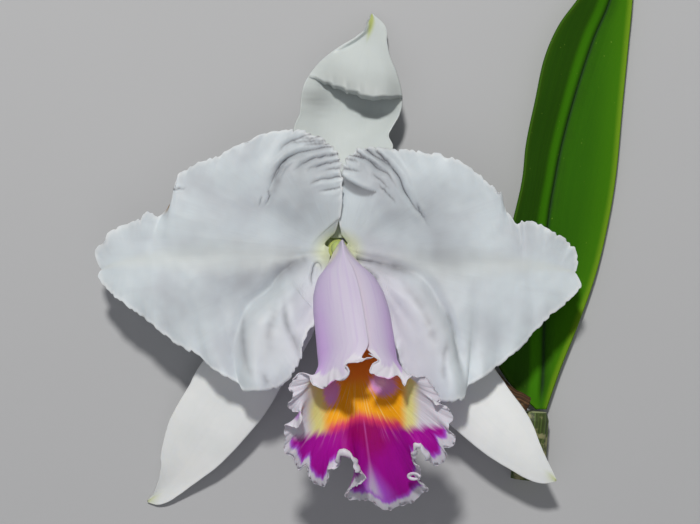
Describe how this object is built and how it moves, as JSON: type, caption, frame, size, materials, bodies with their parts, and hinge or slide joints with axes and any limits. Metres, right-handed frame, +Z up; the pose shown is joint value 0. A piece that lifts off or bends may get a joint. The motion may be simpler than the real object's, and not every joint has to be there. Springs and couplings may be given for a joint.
{
  "type": "cattleya orchid",
  "caption": "Cut orchid bloom with broad waved petals and a frilled tubular lip, on its stalk with sheath, leaf and the top of the cane.",
  "frame": {"origin": "middle of the small flat under the bend of the flower stalk, straight below the centre of the bloom, on the surface that the orchid lies on", "axes": "+Z up, the way the bloom faces; +Y towards the tip of the upper sepal; +X towards the leaf"},
  "size_m": [0.1818, 0.1928, 0.0641],
  "materials": {
    "petal": "soft satin, bluish white plant tissue",
    "sepal": "soft satin, greenish white plant tissue",
    "lip": "soft satin, lavender tube, yellow throat and magenta front lobe",
    "column": "waxy, pale yellow-green",
    "cap": "waxy, ivory",
    "pollen": "waxy, yellow",
    "stalk": "smooth green stalk",
    "dry_sheath": "dry, papery, dark brown",
    "leaf": "leathery, dark green, half gloss",
    "cane": "ribbed green cane"
  },
  "bodies": {
    "root": {"petal_left": "petal", "petal_right": "petal", "sepal_dorsal": "sepal", "sepal_left": "sepal", "sepal_right": "sepal", "lip": "lip", "column": "column", "anther_cap": "cap", "pollinia": "pollen", "flower_stalk": "stalk", "stalk_bract": "dry_sheath", "sheath": "dry_sheath", "leaf": "leaf", "pseudobulb": "cane"}
  },
  "joints": []
}
